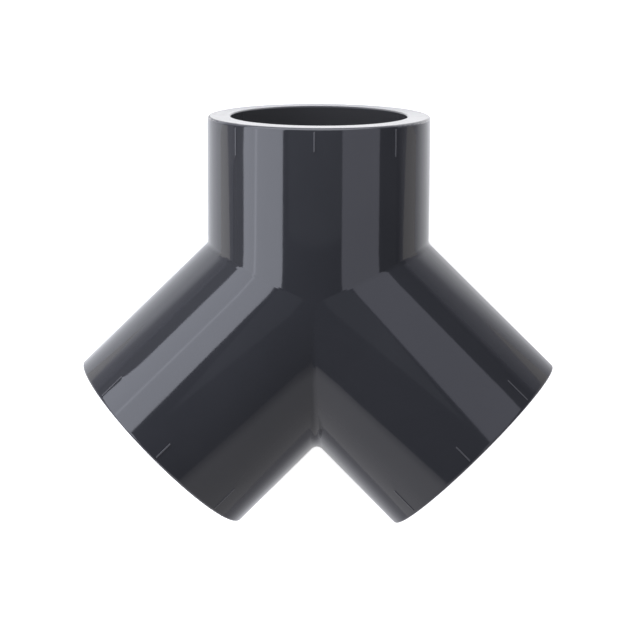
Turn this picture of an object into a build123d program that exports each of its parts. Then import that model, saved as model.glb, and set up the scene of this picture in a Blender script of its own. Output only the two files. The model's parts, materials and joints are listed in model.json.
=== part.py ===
from build123d import *
import math
import os

os.makedirs("parts", exist_ok=True)

# Symmetrical wye for 50 mm solvent-cement pressure pipe: one moulded body of three equal sockets.
# It lies on its side, its three axes in one level plane, with the stem along +Y.
# The origin is on the resting surface, at the middle of the outline seen from above. Millimetres.

# sockets
pipe_diameter = 50.0
cement_gap = 0.1
socket_depth = 31.0
socket_corner = 0.5
lead_in = 0.3

# waterway and outer wall
waterway_radius = 22.0
body_radius = 31.3
draft_angle = 0.45
rim_round = 0.8

# the three arms, measured from where their axes cross
stem_length = 49.3
branch_length = 63.3
branch_spread = 90.0

# blend along the mitres where the arms meet outside
mitre_blend = 2.0

# raised alignment marks on both faces of each mouth: a short one between two long ones
mark_spacing = 45.0
mark_width = 0.5
mark_height = 0.2
mark_round = 0.18
mark_root = 0.3
long_mark = 8.0
short_mark = 5.7
mark_setback = 1.0

# places closer than this count as the same
tolerance = 0.001

socket_radius = pipe_diameter / 2 + cement_gap
half_spread = branch_spread / 2
draft_rise = math.tan(math.radians(draft_angle))


def outer_radius(along):
    return body_radius + along * draft_rise


def heading(angle):
    return Vector(math.cos(math.radians(angle)), math.sin(math.radians(angle)), 0)


# how far the rounded rims of the branches reach towards -Y
rim_centre_along = branch_length - rim_round
rim_centre_out = outer_radius(branch_length) - rim_round
branch_reach = (
    rim_centre_along * math.cos(math.radians(half_spread))
    + rim_centre_out * math.sin(math.radians(half_spread))
    + rim_round
)
resting_height = outer_radius(branch_length - mark_setback - mark_round) + mark_height
crossing = Vector(0, (branch_reach - stem_length) / 2, resting_height)

# each arm: its length, the heading of its axis, and the mitre planes on either side of it
stem_heading = 90
right_heading = half_spread - 90
left_heading = 270 - half_spread
right_mitre = (stem_heading + right_heading) / 2
left_mitre = (stem_heading + left_heading) / 2
arms = [
    (stem_length, stem_heading, right_mitre, left_mitre),
    (branch_length, right_heading, -90, right_mitre),
    (branch_length, left_heading, left_mitre, 270),
]


def socket_arm(length, angle, start_mitre, end_mitre):
    """One hollow arm, revolved from its wall section and cut at the mitre planes beside it."""
    axis_direction = heading(angle)
    stop = length - socket_depth
    with BuildPart() as arm:
        with BuildSketch(Plane(origin=crossing, x_dir=axis_direction, z_dir=(0, 0, 1))):
            with BuildLine():
                Polyline(
                    (0, waterway_radius),
                    (stop, waterway_radius),
                    (stop, socket_radius),
                    (length - lead_in, socket_radius),
                    (length, socket_radius + lead_in),
                    (length, outer_radius(length)),
                    (0, body_radius),
                    close=True,
                )
            make_face()
        revolve(axis=Axis(crossing, axis_direction))
        for normal_angle in (start_mitre + 90, end_mitre - 90):
            split(bisect_by=Plane(origin=crossing, z_dir=heading(normal_angle)), keep=Keep.TOP)
        mouth = Plane(origin=crossing + axis_direction * length, z_dir=axis_direction)
        rims = arm.edges().filter_by(GeomType.CIRCLE).filter_by(
            lambda edge: abs(mouth.to_local_coords(edge.center(CenterOf.GEOMETRY)).Z) < tolerance
        )
        fillet(rims.sort_by(SortBy.RADIUS)[-1], rim_round)
        stops = arm.edges().filter_by(GeomType.CIRCLE).filter_by(
            lambda edge: abs(edge.radius - socket_radius) < tolerance
        )
        step = stops.sort_by(Axis(crossing, axis_direction))[0]
        fillet(step, socket_corner)
    return arm.part


def alignment_mark(length, angle, turn, mark_length):
    """One raised, round-topped mark along the wall, set back from the mouth and turned round its arm."""
    along = length - mark_setback - mark_length / 2
    axis_direction = heading(angle)
    outward = Vector(0, 0, 1).rotate(Axis((0, 0, 0), axis_direction), turn)
    wall = Plane(
        origin=crossing + axis_direction * along + outward * (outer_radius(along) - mark_root),
        x_dir=axis_direction + outward * draft_rise,
        z_dir=outward - axis_direction * draft_rise,
    )
    with BuildPart() as mark:
        with BuildSketch(wall):
            SlotOverall(mark_length, mark_width)
        extrude(amount=mark_root + mark_height)
        crown = mark.faces().sort_by(Axis(wall.origin, wall.z_dir))[-1]
        fillet(crown.edges(), mark_round)
    return mark.part


with BuildPart() as wye_body:
    for length, angle, start_mitre, end_mitre in arms:
        add(socket_arm(length, angle, start_mitre, end_mitre))

    # on the wall the mitres reach body_radius above and below the crossing, in the waterway less
    mitres = wye_body.edges().filter_by(GeomType.ELLIPSE).filter_by(
        lambda edge: max(abs((edge @ end).Z - crossing.Z) for end in (0, 1)) > waterway_radius + tolerance
    )
    fillet(mitres, mitre_blend)

    for length, angle, start_mitre, end_mitre in arms:
        for face_turn in (0, 180):
            add(alignment_mark(length, angle, face_turn, short_mark))
            for side in (-1, 1):
                add(alignment_mark(length, angle, face_turn + side * mark_spacing, long_mark))

wye_body.part.label = "wye_body"
export_step(wye_body.part, "parts/wye_body.step")
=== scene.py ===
import json
import math
import bpy
from mathutils import Matrix, Vector

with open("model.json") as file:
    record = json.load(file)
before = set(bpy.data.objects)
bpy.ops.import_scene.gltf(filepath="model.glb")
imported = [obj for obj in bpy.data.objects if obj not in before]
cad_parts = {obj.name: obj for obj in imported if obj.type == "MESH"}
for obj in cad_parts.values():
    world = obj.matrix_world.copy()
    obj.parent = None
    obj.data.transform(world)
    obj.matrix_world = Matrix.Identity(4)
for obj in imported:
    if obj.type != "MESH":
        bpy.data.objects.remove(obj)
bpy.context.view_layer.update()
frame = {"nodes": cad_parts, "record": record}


# a wire out of a node's socket: sums, products and comparisons of wires make the maths nodes
class Wire:
    def __init__(self, tree, socket):
        self.tree = tree
        self.socket = socket

    def maths(self, operation, first, second):
        values = {"Value": first, "Value_001": second}
        return self.tree.node("ShaderNodeMath", {"operation": operation}, values)["Value"]

    def __add__(self, other):
        return self.maths("ADD", self, other)

    def __sub__(self, other):
        return self.maths("SUBTRACT", self, other)

    def __rsub__(self, other):
        return self.maths("SUBTRACT", other, self)

    def __mul__(self, other):
        return self.maths("MULTIPLY", self, other)

    def orMore(self, other):
        return self.maths("MAXIMUM", self, other)

    def apart(self, other):
        return self.maths("ABSOLUTE", self - other, 0.0)


class Tree:
    def __init__(self, owner):
        owner.use_nodes = True
        self.nodes = owner.node_tree.nodes
        self.links = owner.node_tree.links
        self.nodes.clear()

    def node(self, kind, settings, values):
        # values are keyed by the identifier of the socket that they go into
        made = self.nodes.new(kind)
        for name, setting in settings.items():
            setattr(made, name, setting)
        sockets = {socket.identifier: socket for socket in made.inputs}
        for name, value in values.items():
            if isinstance(value, Wire):
                self.links.new(value.socket, sockets[name])
            else:
                sockets[name].default_value = value
        return {output.identifier: Wire(self, output) for output in made.outputs}

    def place(self):
        return self.node("ShaderNodeTexCoord", {}, {})["Object"]

    def vector(self, operation, first, second):
        values = {"Vector": first, "Vector_001": second}
        outputs = self.node("ShaderNodeVectorMath", {"operation": operation}, values)
        return outputs["Value"] if operation in ("DOT_PRODUCT", "LENGTH") else outputs["Vector"]

    def along(self, place, direction):
        # how far a place lies along a direction
        return self.vector("DOT_PRODUCT", place, direction)

    def step(self, value, low, high):
        # 0 at low, 1 at high, smooth between
        values = {"Value": value, "From Min": low, "From Max": high}
        return self.node("ShaderNodeMapRange", {"interpolation_type": "SMOOTHSTEP"}, values)["Result"]

    def noise(self, place, scale, detail):
        values = {"Vector": place, "Scale": scale, "Detail": detail}
        return self.node("ShaderNodeTexNoise", {}, values)["Fac"]

    def mixColour(self, factor, first, second):
        values = {"Factor_Float": factor, "A_Color": first, "B_Color": second}
        return self.node("ShaderNodeMix", {"data_type": "RGBA"}, values)["Result_Color"]

    def mixShader(self, factor, first, second):
        values = {"Fac": factor, "Shader": first, "Shader_001": second}
        return self.node("ShaderNodeMixShader", {}, values)["Shader"]

    def glow(self, colour, strength):
        return self.node("ShaderNodeEmission", {}, {"Color": colour, "Strength": strength})["Emission"]

    def surface(self, shader):
        self.node("ShaderNodeOutputMaterial", {}, {"Surface": shader})


# where the three mouths are, and where their axes cross
mounts = {mount["name"]: mount for mount in frame["record"]["mounts"]}
mouths = []
for socketName in ("stem_socket", "right_branch_socket", "left_branch_socket"):
    mouths.append((Vector(mounts[socketName]["pos_m"]), Vector(mounts[socketName]["axis"])))
rightMouth, rightAxis = mouths[1]
crossing = rightMouth - rightAxis * (rightMouth.x / rightAxis.x)
print("the axes cross at", tuple(round(value, 5) for value in crossing))


# dark grey pressure pipe plastic: a polished mould's gloss with its faint flow, haze and parting line, with
# painted highlights on its end faces and mark crowns and painted fill light in its bores
plastic = {
    "colour": (0.0186, 0.0192, 0.0229, 1),
    "flowColour": (0.0218, 0.0223, 0.0262, 1),
    # painted highlight: the paler colour of the flat end faces round the mouths
    "endFaceHighlightColour": (0.062, 0.062, 0.068, 1),
    # painted highlight: the paler colour of the raised mark crowns
    "markHighlightColour": (0.05, 0.05, 0.055, 1),
    # painted fill light: the paler colour inside the sockets and the waterway
    "boreFillLightColour": (0.034, 0.034, 0.036, 1),
    "flowScale": 28.0,
    "flowDetail": 3.0,
    "flowEdge": (0.35, 0.7),
    "hazeScale": 90.0,
    "hazeDetail": 4.0,
    "peelScale": 420.0,
    "peelDetail": 2.0,
    "roughness": 0.075,
    "hazeSpread": 0.05,
    "endRoughness": 0.22,
    "ior": 1.54,
    "peelHeight": 0.000004,
    "partingWidth": 0.00012,
    "partingHeight": 0.00002,
    "endDepth": 0.00035,
    "wallRadius": 0.0313,
    "wallRise": 0.00785,
    "markRise": (0.00008, 0.00016),
    "markCeiling": (0.0325, 0.0327),
    "markSetback": (0.011, 0.0095),
    "boreEdge": (0.0256, 0.0259),
    "boreStart": 0.001,
}


def onEndFaces(tree, place):
    # 1 on the flat faces round the mouths, 0 everywhere else
    onFace = 0.0
    for mouth, axis in mouths:
        edge = mouth.dot(axis)
        beyond = tree.step(tree.along(place, axis), edge - plastic["endDepth"], edge)
        onFace = beyond.orMore(onFace)
    return onFace


def roundArms(tree, place):
    # for each arm: how far a place lies along its axis and out from it, and the arm's length
    fromCrossing = tree.vector("SUBTRACT", place, crossing)
    arms = []
    for mouth, axis in mouths:
        reached = tree.along(fromCrossing, axis)
        outward = tree.vector("LENGTH", tree.vector("CROSS_PRODUCT", fromCrossing, axis), (0, 0, 0))
        arms.append((reached, outward, (mouth - crossing).length))
    return arms


def paintedMarkHighlight(tree, arms):
    # 1 on the crowns of the raised marks, which are painted paler: a painted highlight for the light that
    # the raised ribs catch
    onCrown = 0.0
    farSetback, nearSetback = plastic["markSetback"]
    for reached, outward, armLength in arms:
        above = outward - reached * plastic["wallRise"] - plastic["wallRadius"]
        nearMouth = tree.step(reached, armLength - farSetback, armLength - nearSetback)
        onArm = tree.step(above, *plastic["markRise"]) * nearMouth
        inArm = 1.0 - tree.step(outward, *plastic["markCeiling"])
        onCrown = (onArm * inArm).orMore(onCrown)
    return onCrown


def paintedBoreFillLight(tree, arms):
    # 1 inside the sockets and the waterway, which are painted paler as fill light for the dimly lit bores
    inside = 0.0
    for reached, outward, armLength in arms:
        inArm = 1.0 - tree.step(outward, *plastic["boreEdge"])
        inside = (tree.step(reached, 0.0, plastic["boreStart"]) * inArm).orMore(inside)
    return inside


def finishPlastic():
    material = bpy.data.materials.new("anthracitePvc")
    tree = Tree(material)
    place = tree.place()
    flow = tree.noise(place, plastic["flowScale"], plastic["flowDetail"])
    haze = tree.noise(place, plastic["hazeScale"], plastic["hazeDetail"])
    peel = tree.noise(place, plastic["peelScale"], plastic["peelDetail"])
    arms = roundArms(tree, place)
    endFace = onEndFaces(tree, place)
    flowed = tree.step(flow, *plastic["flowEdge"])
    moulded = tree.mixColour(flowed, plastic["colour"], plastic["flowColour"])
    # the mark crowns get a painted highlight
    withMarkHighlight = tree.mixColour(paintedMarkHighlight(tree, arms), moulded, plastic["markHighlightColour"])
    # the bores get painted fill light
    withBoreFillLight = tree.mixColour(paintedBoreFillLight(tree, arms), withMarkHighlight, plastic["boreFillLightColour"])
    # the end faces are painted paler, a painted highlight beside their rougher reflection
    colour = tree.mixColour(endFace, withBoreFillLight, plastic["endFaceHighlightColour"])
    smooth = haze * plastic["hazeSpread"] + (plastic["roughness"] - plastic["hazeSpread"] / 2)
    roughness = smooth + endFace * (plastic["endRoughness"] - plastic["roughness"])
    height = tree.along(place, (0, 0, 1)).apart(crossing.z)
    parting = 1.0 - tree.step(height, 0.0, plastic["partingWidth"])
    relief = peel * plastic["peelHeight"] + parting * plastic["partingHeight"]
    bump = tree.node("ShaderNodeBump", {}, {"Strength": 1.0, "Distance": 1.0, "Height": relief})["Normal"]
    shader = tree.node("ShaderNodeBsdfPrincipled", {}, {
        "Base Color": colour,
        "Roughness": roughness,
        "Normal": bump,
        "IOR": plastic["ior"],
    })["BSDF"]
    tree.surface(shader)
    return material


wyeBody = frame["nodes"]["wye_body"]
wyeBody.data.materials[0] = finishPlastic()
print("plastic finished")


def sheet(name, corners, faces, material):
    mesh = bpy.data.meshes.new(name)
    mesh.from_pydata(corners, [], faces)
    mesh.materials.append(material)
    made = bpy.data.objects.new(name, mesh)
    bpy.context.scene.collection.objects.link(made)
    return made


# a painted pool of light under the fitting: the pale floor darkens to a dim colour beyond the pool, though
# the camera sees it all as white;
# the gloss sees painted light too, the floor glowing a little brighter to the right
floor = {
    "reach": 3.0,
    "sheetColour": (0.86, 0.86, 0.86, 1),
    "beyondPoolColour": (0.55, 0.54, 0.545, 1),
    "centre": Vector((-0.03, 0.027, 0)),
    "litPoolEdge": (0.08, 0.15),
    "glow": 0.8,
    "glossShare": (0.45, 0.7),
    "glossEdge": (-0.06, 0.06),
}


def layFloor():
    material = bpy.data.materials.new("paleSheet")
    tree = Tree(material)
    rays = tree.node("ShaderNodeLightPath", {}, {})
    backdrop = rays["Is Camera Ray"].orMore(rays["Is Transmission Ray"])
    place = tree.place()
    fromCentre = tree.vector("SUBTRACT", place, floor["centre"])
    # painted pool of light: for all but camera rays the floor keeps its pale colour near the fitting and
    # turns dim beyond
    inLitPool = 1.0 - tree.step(tree.vector("LENGTH", fromCentre, (0, 0, 0)), *floor["litPoolEdge"])
    paper = tree.node("ShaderNodeBsdfDiffuse", {}, {"Color": floor["sheetColour"]})["BSDF"]
    unlitFloor = tree.node("ShaderNodeBsdfDiffuse", {}, {"Color": floor["beyondPoolColour"]})["BSDF"]
    dark = tree.glow((0, 0, 0, 1), 0.0)
    white = tree.glow((1, 1, 1, 1), floor["glow"])
    least, most = floor["glossShare"]
    # painted light: the floor's glow in the gloss grows brighter to the right
    brighterToRight = tree.step(tree.along(place, (1, 0, 0)), *floor["glossEdge"])
    glossy = rays["Is Glossy Ray"] * (brighterToRight * (most - least) + least)
    lift = tree.mixShader(backdrop.orMore(glossy), dark, white)
    bright = tree.node("ShaderNodeAddShader", {}, {"Shader": paper, "Shader_001": lift})["Shader"]
    tree.surface(tree.mixShader(backdrop.orMore(inLitPool), unlitFloor, bright))
    reach = floor["reach"]
    corners = [(-reach, -reach, 0), (reach, -reach, 0), (reach, reach, 0), (-reach, reach, 0)]
    sheet("floor", corners, [(0, 1, 2, 3)], material)


layFloor()
print("floor laid")

# soft boxes and strips round the fitting: corners from where the axes cross, colour and strength
# a fade dims a box along a direction: the direction, where it is dimmest, where it ends, and the share left
# a seam is a brighter line across a box: a direction, its place along it, its width and its share
softBoxes = {
    "leftBox": {
        "corners": [
            (-0.5, -0.20, 0.085), (-0.5, 0.95, 0.136),
            (-0.5, 0.95, 1.0), (-0.5, -0.20, 0.70),
        ],
        "colour": (0.86, 0.89, 1.0, 1),
        "strength": 3.8,
        "seams": [((0, -0.35, 0.94), 0.24, 0.02, 1.35)],
    },
    "leftSkirt": {
        "corners": [
            (-0.5, -0.20, -0.03), (-0.5, 0.95, -0.03),
            (-0.5, 0.95, 0.136), (-0.5, -0.20, 0.085),
        ],
        "colour": (0.9, 0.92, 1.0, 1),
        "strength": 0.5,
    },
    "rightBox": {
        "corners": [
            (0.137, -0.12, 0.29), (0.137, 0.40, 0.29),
            (0.328, 0.40, 0.151), (0.328, -0.12, 0.151),
        ],
        "colour": (0.86, 0.87, 1.0, 1),
        "strength": 1.2,
    },
    "topBox": {
        "corners": [
            (-0.15, 0.16, 0.04), (0.12, 0.16, 0.04),
            (0.12, 0.18, 0.34), (-0.15, 0.18, 0.34),
        ],
        "colour": (0.92, 0.94, 1.0, 1),
        "strength": 3.4,
    },
    "lowBox": {
        "corners": [
            (-0.2, -0.15, -0.0319), (0.2, -0.15, -0.0319),
            (0.2, -0.15, 0.19), (-0.2, -0.15, 0.155),
        ],
        "colour": (0.97, 0.96, 1.0, 1),
        "strength": 1.0,
        "fades": [((1, 0, 0), 0.06, -0.04, 0.68), ((0, 0, 1), 0.19, 0.12, 0.4)],
    },
    "mouthStrip": {
        "corners": [
            (-0.06, 0.052, -0.031), (0.06, 0.052, -0.031),
            (0.06, 0.11, -0.031), (-0.06, 0.11, -0.031),
        ],
        "colour": (0.98, 0.98, 1.0, 1),
        "strength": 1.93,
    },
    "overBox": {
        "corners": [
            (-0.1, -0.0095, 0.2), (0.09, -0.0095, 0.2),
            (0.09, 0.06, 0.2), (-0.1, 0.06, 0.2),
        ],
        "colour": (0.88, 0.92, 1.0, 1),
        "strength": 0.31,
    },
    "rightStrip": {
        "corners": [
            (0.1, -0.03, -0.031), (0.29, -0.03, -0.031),
            (0.19, 0.035, -0.031), (0.1, 0.035, -0.031),
        ],
        "colour": (1.0, 0.97, 0.96, 1),
        "strength": 0.75,
    },
    "leftStrip": {
        "corners": [
            (-0.25, -0.03, -0.031), (-0.11, -0.03, -0.031),
            (-0.11, 0.035, -0.031), (-0.19, 0.035, -0.031),
        ],
        "colour": (1.0, 0.99, 1.0, 1),
        "strength": 1.32,
    },
}


def hangSoftBox(name):
    box = softBoxes[name]
    material = bpy.data.materials.new(name)
    tree = Tree(material)
    place = tree.place()
    colour = box["colour"]
    for direction, dimmest, end, left in box.get("fades", []):
        origin = crossing.dot(Vector(direction))
        share = 1.0 - tree.step(tree.along(place, direction), origin + end, origin + dimmest)
        dim = tree.node("ShaderNodeMix", {"data_type": "RGBA", "blend_type": "MULTIPLY"}, {
            "Factor_Float": 1.0,
            "A_Color": colour,
            "B_Color": (left, left, left, 1),
        })["Result_Color"]
        colour = tree.mixColour(share, dim, colour)
    for direction, at, width, bright in box.get("seams", []):
        offset = tree.along(place, direction).apart(crossing.dot(Vector(direction)) + at)
        onSeam = 1.0 - tree.step(offset, 0.0, width)
        colour = tree.mixColour(onSeam, colour, [bright * part for part in box["colour"]])
    tree.surface(tree.glow(colour, box["strength"]))
    corners = [crossing + Vector(corner) for corner in box["corners"]]
    hung = sheet(name, corners, [(0, 1, 2, 3)], material)
    hung.visible_camera = False


for name in softBoxes:
    hangSoftBox(name)
print("soft boxes hung")

# the dark studio that the gloss shows between the lights
room = {
    "reach": 2.9,
    "height": 4.0,
    "colour": (0.9, 0.93, 1.0, 1),
    "strength": 0.17,
}


def buildRoom():
    material = bpy.data.materials.new("dimStudio")
    tree = Tree(material)
    tree.surface(tree.glow(room["colour"], room["strength"]))
    reach = room["reach"]
    around = [(-reach, -reach), (reach, -reach), (reach, reach), (-reach, reach)]
    corners = [(x, y, height) for height in (0, room["height"]) for x, y in around]
    walls = [(side, (side + 1) % 4, (side + 1) % 4 + 4, side + 4) for side in range(4)]
    walls.append((4, 5, 6, 7))
    dimRoom = sheet("dimStudio", corners, walls, material)
    dimRoom.visible_camera = False


def whiteWorld():
    world = bpy.data.worlds.new("backdrop")
    bpy.context.scene.world = world
    tree = Tree(world)
    rays = tree.node("ShaderNodeLightPath", {}, {})
    backdrop = rays["Is Camera Ray"].orMore(rays["Is Glossy Ray"]).orMore(rays["Is Transmission Ray"])
    dim = tree.node("ShaderNodeBackground", {}, {
        "Color": room["colour"],
        "Strength": room["strength"],
    })["Background"]
    white = tree.node("ShaderNodeBackground", {}, {"Color": (1, 1, 1, 1), "Strength": 1.0})["Background"]
    tree.node("ShaderNodeOutputWorld", {}, {"Surface": tree.mixShader(backdrop, dim, white)})


buildRoom()
whiteWorld()
print("studio dimmed")

# the camera looks down on the fitting, a little from the stem's side
view = {
    "brighterToRight": math.radians(2.2),
    "tilt": math.radians(8.40),
    "roll": math.radians(0.24),
    "distance": 1.630,
    "aside": -0.00052,
    "above": 0.00911,
    "lens": 322.3,
    "sensor": 36,
    "clipEnd": 20,
}


def placeCamera():
    brighterToRight, tilt, roll = view["brighterToRight"], view["tilt"], view["roll"]
    back = Vector((math.sin(brighterToRight) * math.cos(tilt), math.sin(tilt), math.cos(brighterToRight) * math.cos(tilt)))
    level = Vector((math.cos(brighterToRight), 0, -math.sin(brighterToRight)))
    right = level * math.cos(roll) + back.cross(level) * math.sin(roll)
    up = back.cross(right)
    place = crossing + back * view["distance"] - right * view["aside"] - up * view["above"]
    cameraData = bpy.data.cameras.new("camera")
    cameraData.lens = view["lens"]
    cameraData.sensor_width = view["sensor"]
    cameraData.clip_end = view["clipEnd"]
    camera = bpy.data.objects.new("camera", cameraData)
    bpy.context.scene.collection.objects.link(camera)
    turned = Matrix((right, up, back)).transposed().to_4x4()
    camera.matrix_world = Matrix.Translation(place) @ turned
    bpy.context.scene.camera = camera


placeCamera()
bpy.context.scene.view_settings.view_transform = "Standard"
print("camera placed")
